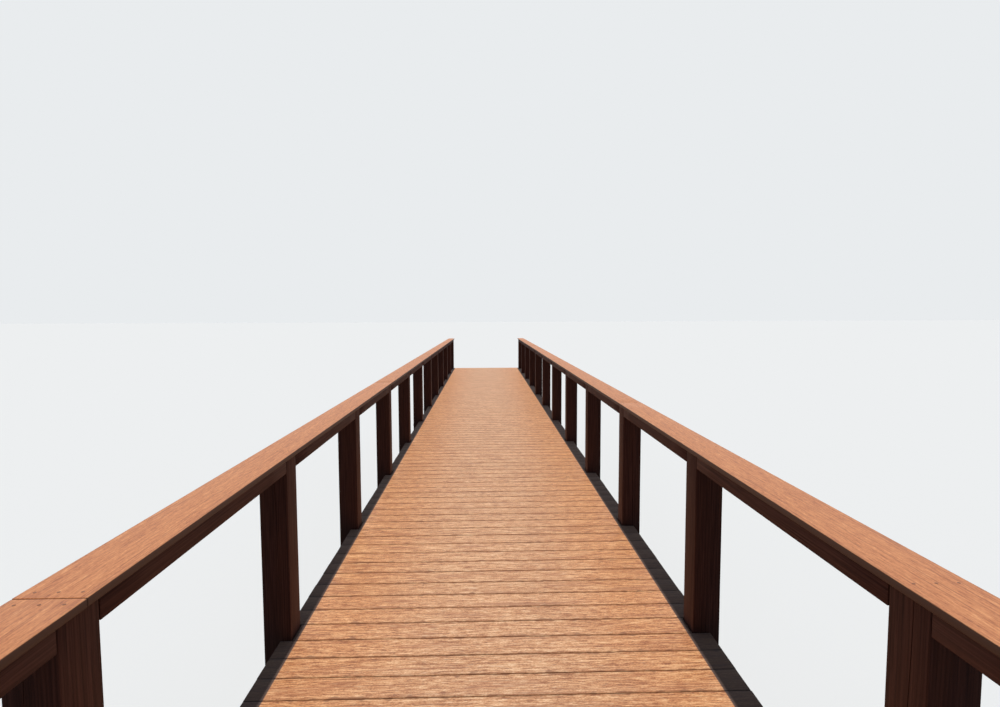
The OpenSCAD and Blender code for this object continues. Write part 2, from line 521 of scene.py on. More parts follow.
def toned(tree, colour, darkest, palest):
    """Makes each timber a little darker or paler than its neighbour, by its own tone."""
    tone = add_node(tree, "Attribute", attribute_name="tone").outputs["Fac"]
    value = add_node(tree, "MapRange", {"Value": tone, "To Min": darkest, "To Max": palest})
    return add_node(tree, "HueSaturation", {"Value": value.outputs["Result"],
                                            "Color": colour}).outputs["Color"]


def wear(tree, shader, colour, height, strength, depth_mm):
    """Gives the shader its colour, and its relief from a height pattern."""
    tree.links.new(colour, shader.inputs["Base Color"])
    bump = add_node(tree, "Bump", {"Height": height, "Strength": strength,
                                   "Distance": depth_mm * MM})
    tree.links.new(bump.outputs["Normal"], shader.inputs["Normal"])


# %% [markdown]
# The deck boards and the handrails are softwood with an orange-brown oil, brushed so that the
# soft early wood lies a little lower. What the eye gets is a warm tan with streaks along the
# board, redder lens-shaped patches where the saw met a slow curve in the log, and thin pale
# flecks. The real streaks are one to three millimetres wide. They are drawn four to eleven
# millimetres wide, so that they show at the camera's distance. The oil gives a satin gloss, and
# so the boards look paler at a flat angle, where they mirror more of the pale background.

# %% Oiled and brushed softwood
SATIN = 0.52
PORE_MM, SHORT_STREAK_MM, LONG_STREAK_MM = (9, 4), (54, 6), (260, 11)
LENS_MM, DARK_LINE_MM, FLECK_MM = (380, 48), (280, 5), (60, 5)
OILED_RING_MM, OILED_RING_WANDER_MM = 11, 12
LONG_SHARE, PORE_SHARE = 0.35, 0.25
STREAK_SPREAD = 0.085
LENS_FROM, LENS_TO = 0.52, 0.68


def oiled_brushed_softwood(name, contrast, figure):
    """The oiled wood, with more or less contrast in its streaks and figure in its lenses."""
    material, tree, shader = new_finish(name, SATIN)
    place = add_node(tree, "Attribute", attribute_name="log").outputs["Vector"]
    shader.inputs["Specular IOR Level"].default_value = 0.6
    pores = drawn_out(tree, place, *PORE_MM, detail=1.0, moved=1.3)
    short = drawn_out(tree, place, *SHORT_STREAK_MM, detail=3.0, roughness=0.6)
    long = drawn_out(tree, place, *LONG_STREAK_MM, detail=3.0, roughness=0.5, moved=2.9)
    streak = add_node(tree, "Mix", {0: LONG_SHARE, NUMBER_A: short, NUMBER_B: long}).outputs[0]
    streak = add_node(tree, "Mix", {0: PORE_SHARE, NUMBER_A: streak, NUMBER_B: pores}).outputs[0]
    spread = STREAK_SPREAD / contrast
    colour = add_node(tree, "ValToRGB", {"Fac": streak}, stops=(
        (0.5 - spread, "#8F5833"), (0.5 - spread / 2, "#BA7E54"), (0.5, "#D0976A"),
        (0.5 + spread / 2, "#DEA87C"), (0.5 + spread, "#F4C99E"))).outputs["Color"]
    lens = drawn_out(tree, place, *LENS_MM, detail=2.0, moved=8.3)
    colour = tint(tree, colour, lens, LENS_FROM, LENS_TO, 0.22 * figure, "#BC7E5B")
    in_lens = share(tree, lens, LENS_FROM, LENS_TO, 0.5 * figure)
    late_wood = growth_rings(tree, place, OILED_RING_MM, OILED_RING_WANDER_MM)
    colour = tint(tree, colour, late_wood, 0.55, 0.95, in_lens, "#96603F")
    dark_line = drawn_out(tree, place, *DARK_LINE_MM, detail=1.0, moved=3.7)
    colour = tint(tree, colour, dark_line, 0.60, 0.68, 0.5, "#935B38")
    fleck = drawn_out(tree, place, *FLECK_MM, detail=1.0, moved=5.1)
    colour = tint(tree, colour, fleck, 0.64, 0.74, 0.6 * figure, "#F4D3B0")
    return material, tree, shader, place, streak, colour


# %% [markdown]
# On the deck the middle, where people tread, has gone paler and greyer than the sides. The ends
# under the handrails are painted a dark bluish grey and made matt: painted shade, for the shade
# that the handrails throw on them. Dirt settles along the joints: a faint matt band beside each
# one and darker dashes in it. In the same patches the rounded edges are darkened, partly dirt
# and partly painted shade in the joints. The underside is raw wood. Where these lie follows the
# walkway and not the log, so it is read from the jetty's own axes and the way that a face looks.
# The rows of boards are all of one pitch, so the distance to the nearest joint is the place
# along the jetty, wrapped at that pitch.

# %% Finish of the deck boards
rows = timbers_in("deck_bay_2")
BOARD_PITCH = (rows[-1][0].y - rows[0][0].y) / (len(rows) - 1)
TREAD_MIDDLE, TREAD_SIDE = 0.20, 0.85
DASH_MM = (60, 300)
DASH_TAPER = 0.012 / MM
JOINT_GRIME = 16 * MM
MATT = 0.9
# The band at the ends of the deck boards, under the handrails, that is painted dark as painted shade
# and made matt.
PAINTED_SHADE_BAND = (0.988, 0.994)
DIRT, EDGE_DIRT_AND_SHADE, PAINTED_HANDRAIL_SHADE, RAW_WOOD = "#7C4B2C", "#6E452D", "#2F2D32", "#8D6A4C"


def trodden_deck_finish():
    material, tree, shader, place, streak, colour = oiled_brushed_softwood(
        "trodden_softwood", contrast=1.0, figure=1.0)
    axes = add_node(tree, "SeparateXYZ", {0: add_node(tree, "TexCoord").outputs["Object"]})
    aside = add_node(tree, "Math", {0: axes.outputs["X"]}, operation="ABSOLUTE").outputs[0]
    colour = tint(tree, colour, aside, TREAD_MIDDLE, TREAD_SIDE, 0.8, "#FFECD2", "MULTIPLY")
    past_joint = add_node(tree, "Math", {0: axes.outputs["Y"], 1: BOARD_PITCH, 2: 0.0},
                          operation="WRAP").outputs[0]
    past_joint = add_node(tree, "Math", {0: past_joint, 1: BOARD_PITCH / 2}, operation="SUBTRACT")
    from_joint = add_node(tree, "Math", {0: past_joint.outputs[0]}, operation="ABSOLUTE").outputs[0]
    colour = tint(tree, colour, from_joint, JOINT_GRIME, 0.0, 0.38, DIRT)
    patches = drawn_out(tree, place, *DASH_MM, detail=1.0, moved=6.7)
    dash = add_node(tree, "Math", {0: from_joint, 1: -DASH_TAPER, 2: patches},
                    operation="MULTIPLY_ADD")
    colour = tint(tree, colour, dash.outputs[0], 0.42, 0.56, 0.62, DIRT)
    surface = add_node(tree, "NewGeometry")
    # Partly dirt and partly painted shade: in the dirt patches the rounded edges, where shade falls
    # in the joints, are darkened.
    flat = add_node(tree, "SeparateXYZ", {0: surface.outputs["True Normal"]}).outputs["Z"]
    on_patches = share(tree, patches, 0.35, 0.60, 0.5)
    colour = tint(tree, colour, flat, 0.97, 0.80, on_patches, EDGE_DIRT_AND_SHADE)
    # Painted shade: the ends under the handrails are painted a dark bluish grey, for the shade that
    # the handrails throw there.
    colour = tint(tree, colour, aside, *PAINTED_SHADE_BAND, 0.9, PAINTED_HANDRAIL_SHADE)
    upward = add_node(tree, "SeparateXYZ", {0: surface.outputs["Normal"]}).outputs["Z"]
    colour = tint(tree, colour, upward, 0.1, -0.5, 0.8, RAW_WOOD)
    dull = add_node(tree, "Math", {0: share(tree, aside, *PAINTED_SHADE_BAND),
                                   1: share(tree, from_joint, JOINT_GRIME, 0.0)},
                    operation="MAXIMUM").outputs[0]
    vary_gloss(tree, shader, dull, SATIN, MATT)
    wear(tree, shader, toned(tree, colour, 1.00, 1.07), streak, 0.35, 1.2)
    return material


deck_finish = trodden_deck_finish()
print("The rows of boards are", round(BOARD_PITCH / MM, 3), "mm apart")

# %% [markdown]
# A deck board is 143 mm wide and 25 mm thick. We round its edges, cut its ends by hand to
# slightly different lengths, and let its edges wander by half a millimetre, so that the joints
# between boards vary in width as real ones do. Damp has swollen each board by a little over a
# millimetre on either side, which narrows the gaps. The log's pith lies below the board, which
# gives long lines that close into lenses on the face.

# %% Lay the deck
DECK_BOARD = {"ease": 2.5 * MM, "lengths": 9, "bow": 0.1 * MM, "wobble": 0.5 * MM,
              "pith_mm": ((-60, 60), (25, 80))}
DECK_DAMP = 1.2 * MM
END_CUT = 2.5 * MM

for bay in range(1, BAYS + 1):
    dice = random.Random(f"deck {bay}")
    piece = bmesh.new()
    for low, high in timbers_in(f"deck_bay_{bay}"):
        low += Vector((dice.uniform(0, END_CUT), -DECK_DAMP, 0))
        high += Vector((-dice.uniform(0, END_CUT), DECK_DAMP, 0))
        low.y, high.y = max(low.y, cad_box[0][Y]), min(high.y, cad_box[1][Y])
        lay_timber(piece, low, high, dice, **DECK_BOARD)
    finish_piece(piece, f"deck_boards_{bay}", deck_finish, [f"deck_bay_{bay}"])
print("The deck has", sum(len(p.data.polygons) for p in made.values()), "faces")

# %% [markdown]
# The handrail is a wide flat board laid along the post heads, in lengths of three post spacings
# that butt over a post. Nobody sets two boards quite in line, so each one is shifted sideways
# by a millimetre or so, and at a joint one length juts a little past the next. The oil is the
# deck's, a little redder because nobody treads on it. Only the top shows it: faces that look
# sideways or down are painted as dark as the posts, as painted shade, by the way a face looks.

# %% Lay the handrails
HANDRAIL_BOARD = {"ease": 2.5 * MM, "bow": 0.4 * MM, "wobble": 0.3 * MM,
                  "pith_mm": ((-40, 40), (25, 60))}
HANDRAIL_SHIFT = 1.5 * MM


def handrail_finish():
    material, tree, shader, place, streak, colour = oiled_brushed_softwood(
        "handrail_softwood", contrast=0.5, figure=0.35)
    redder = add_node(tree, "Mix", {0: 1.0, COLOUR_A: colour, COLOUR_B: linear("#F0D2B5")},
                      data_type="RGBA", blend_type="MULTIPLY").outputs[COLOUR_OUT]
    normal = add_node(tree, "NewGeometry").outputs["Normal"]
    upward = add_node(tree, "SeparateXYZ", {0: normal}).outputs["Z"]
    # Painted shade: faces that look sideways or down are painted dark, for the shade that they lie
    # in.
    colour = tint(tree, redder, upward, 0.75, 0.15, 1.0, "#43261C")
    wear(tree, shader, toned(tree, colour, 0.98, 1.02), streak, 0.3, 1.0)
    return material


handrail_wood = handrail_finish()
handrails = {side: timbers_in(side + "_handrail") for side in SIDES}
for side in SIDES:
    dice = random.Random(f"{side} handrail")
    piece = bmesh.new()
    for low, high in handrails[side]:
        shift = dice.uniform(-HANDRAIL_SHIFT, HANDRAIL_SHIFT)
        narrow_low = low + Vector((HANDRAIL_SHIFT + shift, 0, 0))
        narrow_high = high - Vector((HANDRAIL_SHIFT - shift, 0, 0))
        lay_timber(piece, narrow_low, narrow_high, dice, middle=(low + high) / 2,
                   **HANDRAIL_BOARD)
    finish_piece(piece, f"{side}_handrail_boards", handrail_wood,
                 [f"{side}_handrail"])
print("Each handrail has", len(handrails["left"]), "or", len(handrails["right"]), "boards")

# %% [markdown]
# A post is sawn with the pith of the log inside it, so it cracks as it dries: long checks open
# down its faces. We cut three lines down a face with bisect_plane, spread the outer two into
# lips, and push the middle one in. The lines follow a smooth wander, and close up where the
# check ends. Where it runs out past an end of the timber it stays open there.

# %% Drying checks
CHECK_WANDER = 5 * MM
CHECK_WANDERS_PER_METRE = 3.0
SAME_FACE = 0.995
UP = Vector((0, 0, 1))


def cut_faces(bm, faces, place, normal):
    """Cuts faces along a plane through a place, and gives the vertices on the cut."""
    edges = dict.fromkeys(e for f in faces for e in f.edges)
    verts = dict.fromkeys(v for f in faces for v in f.verts)
    cut = bmesh.ops.bisect_plane(bm, geom=[*faces, *edges, *verts], dist=CUT_NEAR,
                                 plane_co=place, plane_no=normal)
    return [item for item in cut["geom_cut"] if isinstance(item, bmesh.types.BMVert)]


def open_check(bm, middle, outward, across, ends, width, depth, dice, wander=CHECK_WANDER):
    """Opens a check along Z on the face that looks outward. across holds its place at its low
    and its high end, from the middle of the timber, and ends the heights of the two."""
    sideways = UP.cross(outward)
    # The sunk line is also marked in a "check" attribute, from which the finishes paint shade into
    # the check.
    sunk = bm.verts.layers.float.get("check") or bm.verts.layers.float.new("check")
    lines = {}
    for line in (-1, 0, 1):
        bm.normal_update()
        faces = [f for f in bm.faces if f.normal.dot(outward) > SAME_FACE]
        place = middle + sideways * (sum(across) / 2 + line * width / 2)
        for vert in cut_faces(bm, faces, place, sideways):
            lines[vert] = line
    where = dice.uniform(0, NOISE_REACH)
    for vert, line in lines.items():
        along = (vert.co.z - ends[0]) / (ends[1] - ends[0])
        open_by = math.sin(math.pi * along) ** 0.5 if 0 < along < 1 else 0
        held = min(max(along, 0), 1)
        target = across[0] + (across[1] - across[0]) * held
        target += wander * noise.noise(Vector((vert.co.z * CHECK_WANDERS_PER_METRE, where, 0)))
        target += line * width / 2 * open_by
        vert.co += sideways * (target - (vert.co - middle).dot(sideways))
        if line == 0:
            vert.co -= outward * depth * open_by
            vert[sunk] = open_by
    bmesh.ops.remove_doubles(bm, verts=list(lines), dist=NEAR)


# %% [markdown]
# The posts and the rail boards wear a red-brown stain, painted much darker than it is: painted
# shade, for the deep shade that they stand in. It lets a little of the grain show as darker
# lines, thins to paler clouds here and there, and dries nearly matt. On the ends of a timber the
# face looks along the log, and there the rings show as arcs. The inside of a check is painted
# nearly black, as painted shade.

# %% Finish of the posts and rail boards
STAIN_STREAK_MM, CLOUD_MM = (260, 5), (500, 60)
POST_RING_MM, POST_RING_WANDER_MM = 7, 9


def red_brown_stain_and_painted_shade():
    material, tree, shader = new_finish("red_brown_stain_and_painted_shade", 0.6)
    place = add_node(tree, "Attribute", attribute_name="log").outputs["Vector"]
    shader.inputs["Specular IOR Level"].default_value = 0.1
    streak = drawn_out(tree, place, *STAIN_STREAK_MM, detail=4.0, roughness=0.6)
    # These stops are much darker than the stain itself: painted shade for the deep shade of the
    # posts.
    colour = add_node(tree, "ValToRGB", {"Fac": streak}, stops=(
        (0.30, "#342020"), (0.50, "#4B302C"), (0.70, "#5E403A"))).outputs["Color"]
    rings = growth_rings(tree, place, POST_RING_MM, POST_RING_WANDER_MM)
    colour = tint(tree, colour, rings, 0.5, 0.95, 0.30, "#2B1712")
    cloud = drawn_out(tree, place, *CLOUD_MM, detail=2.0, moved=4.1)
    colour = tint(tree, colour, cloud, 0.40, 0.70, 0.25, "#5E3D31")
    # Painted shade: the inside of a check is painted nearly black.
    check_shade = add_node(tree, "Attribute", attribute_name="check").outputs["Fac"]
    colour = tint(tree, colour, check_shade, 0.05, 0.6, 1.0, "#140B09")
    wear(tree, shader, toned(tree, colour, 0.92, 1.15), streak, 0.4, 0.8)
    return material


post_finish = red_brown_stain_and_painted_shade()
print("The stain has", len(post_finish.node_tree.nodes), "nodes")

# %% [markdown]
# Dice say which faces of a post have a check, and where. The second post on the right, the
# nearest that the walker sees, has its long check on the inner face, off the middle at the top
# and nearer to it lower down. It takes the place of whatever the dice say for that face.

# %% Check the posts
INNER_FACE_CHECKED = 0.55
OTHER_FACE_CHECKED = 0.4
CHECK_ASIDE_MM = 30
CHECK_LENGTHS = (0.35, 1.2)
CHECK_PAST_FOOT, CHECK_SHORT_OF_HEAD = 0.1, 0.25
CHECK_WIDTH = 3.0 * MM
CHECK_WIDTHS = (0.5, 1.2)
CHECK_DEPTH = 14 * MM
NEAREST_CHECK = (-6 * MM, 22 * MM)
NEAREST_PAST_FOOT, NEAREST_PAST_HEAD = 0.2, 0.3
ALONG_X, ALONG_Y = Vector((1, 0, 0)), Vector((0, 1, 0))


def check_post(post, low, high, inward, nearest, dice):
    middle = (low + high) / 2
    faces = [inward] if dice.random() < INNER_FACE_CHECKED else []
    faces += [turn for turn in (-ALONG_Y, ALONG_Y, -inward)
              if dice.random() < OTHER_FACE_CHECKED]
    for outward in faces:
        across = [dice.uniform(-CHECK_ASIDE_MM, CHECK_ASIDE_MM) * MM for end in ("low", "high")]
        length = dice.uniform(*CHECK_LENGTHS)
        start = dice.uniform(low.z - CHECK_PAST_FOOT, high.z - CHECK_SHORT_OF_HEAD)
        width = CHECK_WIDTH * dice.uniform(*CHECK_WIDTHS)
        if not nearest or outward != inward:
            open_check(post, middle, outward, across, (start, start + length), width,
                       CHECK_DEPTH, dice)
    if nearest:
        ends = (low.z - NEAREST_PAST_FOOT, high.z + NEAREST_PAST_HEAD)
        open_check(post, middle, inward, NEAREST_CHECK, ends, CHECK_WIDTH, CHECK_DEPTH, dice)


# %% [markdown]
# The posts are 140 mm square, bolted outside the outer stringer, and run from just below it to
# the underside of the handrail.

# %% Stand the posts
POST = {"bow": 0.8 * MM, "wobble": 0.5 * MM, "pith_mm": ((-25, 25), (-25, 25))}
POST_EASE = 4 * MM
POST_LENGTHS = 14
NEAREST_SEEN = ("right", 1)

for side, sign in SIDES.items():
    dice = random.Random(f"{side} posts")
    piece = bmesh.new()
    for number, (low, high) in enumerate(posts[side]):
        post, run = squared_timber(low, high, POST_EASE, POST_LENGTHS)
        check_post(post, low, high, ALONG_X * -sign, (side, number) == NEAREST_SEEN, dice)
        add_timber(piece, post, run, low, high, dice, **POST)
    finish_piece(piece, f"{side}_rail_posts", post_finish, [f"{side}_posts"])
print("Posts on each side:", len(posts["left"]))

# %% [markdown]
# Between the posts a thinner board stands on edge, tight under the handrail. Its ends stop a
# couple of millimetres short of the posts, which leaves a dark line at each post. The drawings
# give this board more depth than the real one shows from the walkway, so we keep its top and
# its ends, and lift its foot until it is 73 mm deep.

# %% Fit the rail boards
RAIL_BOARD = {"ease": 3 * MM, "bow": 0.8 * MM, "wobble": 0.4 * MM,
              "pith_mm": ((20, 60), (-50, 50))}
RAIL_DEPTH = 73 * MM

for side in SIDES:
    dice = random.Random(f"{side} rail boards")
    piece = bmesh.new()
    rails = timbers_in(f"{side}_rails")
    for low, high in rails:
        low.z = high.z - RAIL_DEPTH
        lay_timber(piece, low, high, dice, **RAIL_BOARD)
    finish_piece(piece, f"{side}_rail_boards", post_finish, [f"{side}_rails"])
    print("Rail boards on the", side, "side:", len(rails))

# %% [markdown]
# Under the deck nothing is painted. The stringers, headers and beams are pressure-treated
# softwood that has weathered from green to a brownish grey, matt and rough from the saw, with
# darker patches, taller than they are wide, where rain has dripped through and run down.

# %% Finish of the frame timbers
SAWN_STREAK_MM, GREY_MM = (300, 6), (700, 90)
FRAME_RING_MM, FRAME_RING_WANDER_MM = 8, 10
RUNS_PER_METRE = (8, 8, 3)


def weathered_treated_softwood():
    material, tree, shader = new_finish("weathered_treated_softwood", 0.85)
    place = add_node(tree, "Attribute", attribute_name="log").outputs["Vector"]
    streak = drawn_out(tree, place, *SAWN_STREAK_MM, detail=4.0, roughness=0.6)
    colour = add_node(tree, "ValToRGB", {"Fac": streak}, stops=(
        (0.28, "#7A6349"), (0.48, "#A08663"), (0.60, "#B0966F"),
        (0.78, "#C4AB84"))).outputs["Color"]
    rings = growth_rings(tree, place, FRAME_RING_MM, FRAME_RING_WANDER_MM)
    colour = tint(tree, colour, rings, 0.5, 0.95, 0.35, "#6E5238")
    grey = drawn_out(tree, place, *GREY_MM, detail=3.0, moved=7.7)
    colour = tint(tree, colour, grey, 0.42, 0.66, 0.45, "#A49D90")
    spot = add_node(tree, "TexCoord").outputs["Object"]
    drip = add_node(tree, "VectorMath", {0: spot, 1: RUNS_PER_METRE}, operation="MULTIPLY")
    runs = add_node(tree, "TexNoise", {"Vector": drip.outputs[0], "Scale": 1.0, "Detail": 2.0})
    colour = tint(tree, colour, runs.outputs["Fac"], 0.45, 0.75, 0.55, "#5A4733")
    wear(tree, shader, toned(tree, colour, 1.00, 1.28), streak, 0.5, 1.0)
    return material


frame_finish = weathered_treated_softwood()
print("The frame's finish has", len(frame_finish.node_tree.nodes), "nodes")

# %% [markdown]
# The frame is plain carpentry: three lines of stringers on each side, butted over the bents, a
# header board across the stringer ends at each end, and two beams on edge at each bent. The
# headers' outer faces lie back by the height of their screw heads, so that the heads end at the
# frame's own end.

# %% Build the frame under the deck
FRAME_TIMBER = {"ease": 4 * MM, "bow": 1.2 * MM, "wobble": 0.6 * MM,
                "pith_mm": ((-40, 40), (-90, 90))}
SCREW_HEAD_RISE = 2.5 * MM
headers = {name: timbers_in(name)[0] for name in ("near_header", "far_header")}


def frame_piece(name, node, timbers):
    """One piece of weathered timbers that stands for one frame node."""
    dice = random.Random(name)
    piece = bmesh.new()
    for low, high in timbers:
        lay_timber(piece, low, high, dice, **FRAME_TIMBER)
    finish_piece(piece, name, frame_finish, [node])


for side in SIDES:
    for line in range(1, STRINGER_LINES + 1):
        node = f"{side}_stringer_{line}"
        frame_piece(f"{side}_stringer_timbers_{line}", node, timbers_in(node))
for bent, pair in beams.items():
    frame_piece(f"pile_cap_beams_{bent}", f"pile_cap_{bent}", pair)
for name, (low, high) in headers.items():
    outer = Vector((0, SCREW_HEAD_RISE, 0))
    low, high = (low + outer, high) if name == "near_header" else (low, high - outer)
    frame_piece(f"{name}_board", name, [(low, high)])
print("Pieces so far:", len(made))

# %% [markdown]
# The piles are whole trunks, peeled, left round and never painted. Above the water they dry to
# a greyish tan. Below it they are dark and wet, with a ragged edge between the two, and green
# weed grows in clumps from a little above the water down. What is wet is glossier too.

# %% Finish of the piles
PILE_STREAK_MM = (350, 9)
WATERLINE = 0.65
WET_BELOW, DRY_ABOVE = 0.16, 0.12
WEED_ABOVE, WEED_THICK_BELOW = 0.30, 0.10
RAGGED_PER_METRE = (16, 16, 5)
RAGGED_BY = 0.35
WET_ROUGHNESS, DRY_ROUGHNESS = 0.35, 0.85


def peeled_pile_wood():
    material, tree, shader = new_finish("peeled_pile_wood", DRY_ROUGHNESS)
    place = add_node(tree, "Attribute", attribute_name="log").outputs["Vector"]
    streak = drawn_out(tree, place, *PILE_STREAK_MM, detail=4.0, roughness=0.62)
    dry = add_node(tree, "ValToRGB", {"Fac": streak}, stops=(
        (0.28, "#6E5C47"), (0.5, "#97815F"), (0.72, "#B69F7C"))).outputs["Color"]
    wet = add_node(tree, "ValToRGB", {"Fac": streak}, stops=(
        (0.28, "#2C261F"), (0.5, "#453B2F"), (0.72, "#5C4F3F"))).outputs["Color"]
    spot = add_node(tree, "TexCoord").outputs["Object"]
    height = add_node(tree, "SeparateXYZ", {0: spot}).outputs["Z"]
    ragged = add_node(tree, "VectorMath", {0: spot, 1: RAGGED_PER_METRE}, operation="MULTIPLY")
    ragged = add_node(tree, "TexNoise", {"Vector": ragged.outputs[0], "Scale": 1.0,
                                         "Detail": 4.0}).outputs["Fac"]
    level = add_node(tree, "Math", {0: ragged, 1: -RAGGED_BY, 2: height},
                     operation="MULTIPLY_ADD").outputs[0]
    above = share(tree, level, WATERLINE - WET_BELOW, WATERLINE + DRY_ABOVE)
    colour = add_node(tree, "Mix", {0: above, COLOUR_A: wet, COLOUR_B: dry},
                      data_type="RGBA").outputs[COLOUR_OUT]
    clumps = share(tree, ragged, 0.38, 0.62, 0.75)
    colour = tint(tree, colour, level, WATERLINE + WEED_ABOVE, WATERLINE - WEED_THICK_BELOW,
                  clumps, "#3F4A2C")
    # Painted shade: the inside of a check is painted nearly black.
    check_shade = add_node(tree, "Attribute", attribute_name="check").outputs["Fac"]
    colour = tint(tree, colour, check_shade, 0.05, 0.6, 1.0, "#15110D")
    vary_gloss(tree, shader, above, WET_ROUGHNESS, DRY_ROUGHNESS)
    wear(tree, shader, toned(tree, colour, 1.04, 1.25), streak, 0.5, 2.0)
    return material


pile_finish = peeled_pile_wood()
print("The piles' finish has", len(pile_finish.node_tree.nodes), "nodes")

# %% [markdown]
# A pile is a trunk that tapers to the foot. Each one starts as a cone of thirty-two sides, cut
# into short lengths. Its flank is roughened by noise, always inwards, so that it never leaves
# the room that the frame gives it.

# %% Shape a trunk
PILE_SIDES = 32
PILE_LENGTHS = 22
PILE_FOOT = 205 * MM
PILE_ROUGHNESS = 4 * MM
PILE_BUMPS_PER_METRE, PILE_BUMPS_UP = 9, 2.5


def tapered_trunk(low, high):
    """A smooth trunk between two corners, in short lengths."""
    bm = bmesh.new()
    bmesh.ops.create_cone(bm, cap_ends=True, cap_tris=False, segments=PILE_SIDES,
                          radius1=PILE_FOOT / 2, radius2=(high.x - low.x) / 2,
                          depth=high.z - low.z)
    bmesh.ops.translate(bm, vec=(low + high) / 2, verts=bm.verts)
    flank = [e for e in bm.edges if abs(e.verts[0].co.z - e.verts[1].co.z) > PILE_FOOT]
    bmesh.ops.subdivide_edges(bm, edges=flank, cuts=PILE_LENGTHS - 1, use_grid_fill=True)
    return bm


def roughen_trunk(bm, middle, dice):
    """Takes a little off the flank all round, more in one place than in another."""
    where = dice.uniform(0, NOISE_REACH)
    for vert in bm.verts:
        out = Vector((vert.co.x - middle.x, vert.co.y - middle.y, 0))
        rough = noise.noise(Vector((vert.co.x * PILE_BUMPS_PER_METRE,
                                    vert.co.y * PILE_BUMPS_PER_METRE + where,
                                    vert.co.z * PILE_BUMPS_UP)))
        vert.co -= out.normalized() * PILE_ROUGHNESS * (0.5 + 0.5 * rough)


sample = tapered_trunk(*timbers_in("pile_pair_1")[0])
print("A smooth trunk has", len(sample.faces), "faces")
sample.free()

# %% [markdown]
# Trunks check too, so four of the sides of each get a long check. That is done before the
# flank is roughened, while each side is still flat.

# %% Check a trunk
PILE_CHECKS = 4
PILE_CHECK_STARTS, PILE_CHECK_LENGTHS = (-0.2, 1.2), (0.5, 1.2)
PILE_CHECK_ASIDE_MM, PILE_CHECK_WIDTHS_MM = 4, (3, 5)
PILE_CHECK_WANDER = 3 * MM
PILE_CHECK_DEPTH = 16 * MM


def check_trunk(bm, low, high, dice):
    """Opens long checks down the sides that the dice say."""
    tilt = (high.x - low.x - PILE_FOOT) / 2 / (high.z - low.z)
    for facet in dice.sample(range(PILE_SIDES), PILE_CHECKS):
        angle = (facet + 0.5) * 2 * math.pi / PILE_SIDES
        outward = Vector((math.cos(angle), math.sin(angle), -tilt)).normalized()
        start = dice.uniform(*PILE_CHECK_STARTS)
        across = [dice.uniform(-PILE_CHECK_ASIDE_MM, PILE_CHECK_ASIDE_MM) * MM
                  for end in ("low", "high")]
        ends = (start, start + dice.uniform(*PILE_CHECK_LENGTHS))
        width = dice.uniform(*PILE_CHECK_WIDTHS_MM) * MM
        open_check(bm, (low + high) / 2, outward, across, ends, width, PILE_CHECK_DEPTH, dice,
                   wander=PILE_CHECK_WANDER)


# %% [markdown]
# At the head a flat is cut on each side of a pile, and the beams lie against the flats. We cut
# the mesh at the shoulder and along the two flats, and press what stands outside the flats back
# to them. A second cut, just above the shoulder, keeps it square.

# %% Notch the heads
SHOULDER_STEP = 0.3 * MM


def notch_head(bm, beam_foot, flats):
    """Cuts the two flats, from the foot of the beams to the top."""
    for height in (beam_foot, beam_foot + SHOULDER_STEP):
        cut_faces(bm, list(bm.faces), (0, 0, height), UP)
    for flat in flats:
        head = [f for f in bm.faces if all(v.co.z > beam_foot + NEAR for v in f.verts)]
        cut_faces(bm, head, (0, flat, 0), ALONG_Y)
    for vert in bm.verts:
        if vert.co.z > beam_foot + NEAR:
            vert.co.y = min(max(vert.co.y, flats[0]), flats[1])


# %% [markdown]
# Two piles stand at each bent, where the frame has them, and their flats meet the inner faces
# of that bent's beams. The pith runs up the middle of a pile, so its rings are whole.

# %% Drive the piles
for bent in range(1, BENTS + 1):
    dice = random.Random(f"piles {bent}")
    piece = bmesh.new()
    near_beam, far_beam = beams[bent]
    for low, high in timbers_in(f"pile_pair_{bent}"):
        middle = (low + high) / 2
        pile = tapered_trunk(low, high)
        check_trunk(pile, low, high, dice)
        roughen_trunk(pile, middle, dice)
        notch_head(pile, near_beam[0].z, (near_beam[1].y, far_beam[0].y))
        mark_grain(pile, Z, middle, (0, 0), dice)
        add_part(piece, pile)
    finish_piece(piece, f"round_piles_{bent}", pile_finish, [f"pile_pair_{bent}"])
print("Piles driven at", BENTS, "bents")

# %% [markdown]
# The bolts, washers and nuts are hot-dip galvanised steel. The zinc has dulled to a grey with a
# faint spangle, crystals a few millimetres across, and thin white bloom. It is a metal, so it
# keeps the default IOR.

# %% Galvanised steel
SPANGLE = 5 * MM
BLOOM = 25 * MM
BLOOM_FROM, BLOOM_TO = 0.5, 0.7


def hot_dip_galvanised_steel():
    material, tree, shader = new_finish("hot_dip_galvanised_steel", 0.5)
    shader.inputs["Metallic"].default_value = 1.0
    spot = add_node(tree, "TexCoord").outputs["Object"]
    spangle = add_node(tree, "TexVoronoi", {"Vector": spot, "Scale": 1 / SPANGLE})
    colour = add_node(tree, "ValToRGB", {"Fac": spangle.outputs["Color"]}, stops=(
        (0.2, "#8C9092"), (0.8, "#A9ADAE"))).outputs["Color"]
    bloom = add_node(tree, "TexNoise", {"Vector": spot, "Scale": 1 / BLOOM,
                                        "Detail": 4.0}).outputs["Fac"]
    colour = tint(tree, colour, bloom, BLOOM_FROM, BLOOM_TO, 0.5, "#C4C6C4")
    vary_gloss(tree, shader, share(tree, bloom, BLOOM_FROM, BLOOM_TO), 0.42, 0.75)
    wear(tree, shader, colour, bloom, 0.2, 0.3)
    return material


galvanised = hot_dip_galvanised_steel()
print("The steel has", len(galvanised.node_tree.nodes), "nodes")

# %% [markdown]
# A bolt shows a washer with a hexagon on it, and where the hexagon is a nut the bolt's own end
# too. Each is a short cylinder with its outer rim chamfered. They are stacked up along Z at the
# origin, turned to look the right way and set in their place.

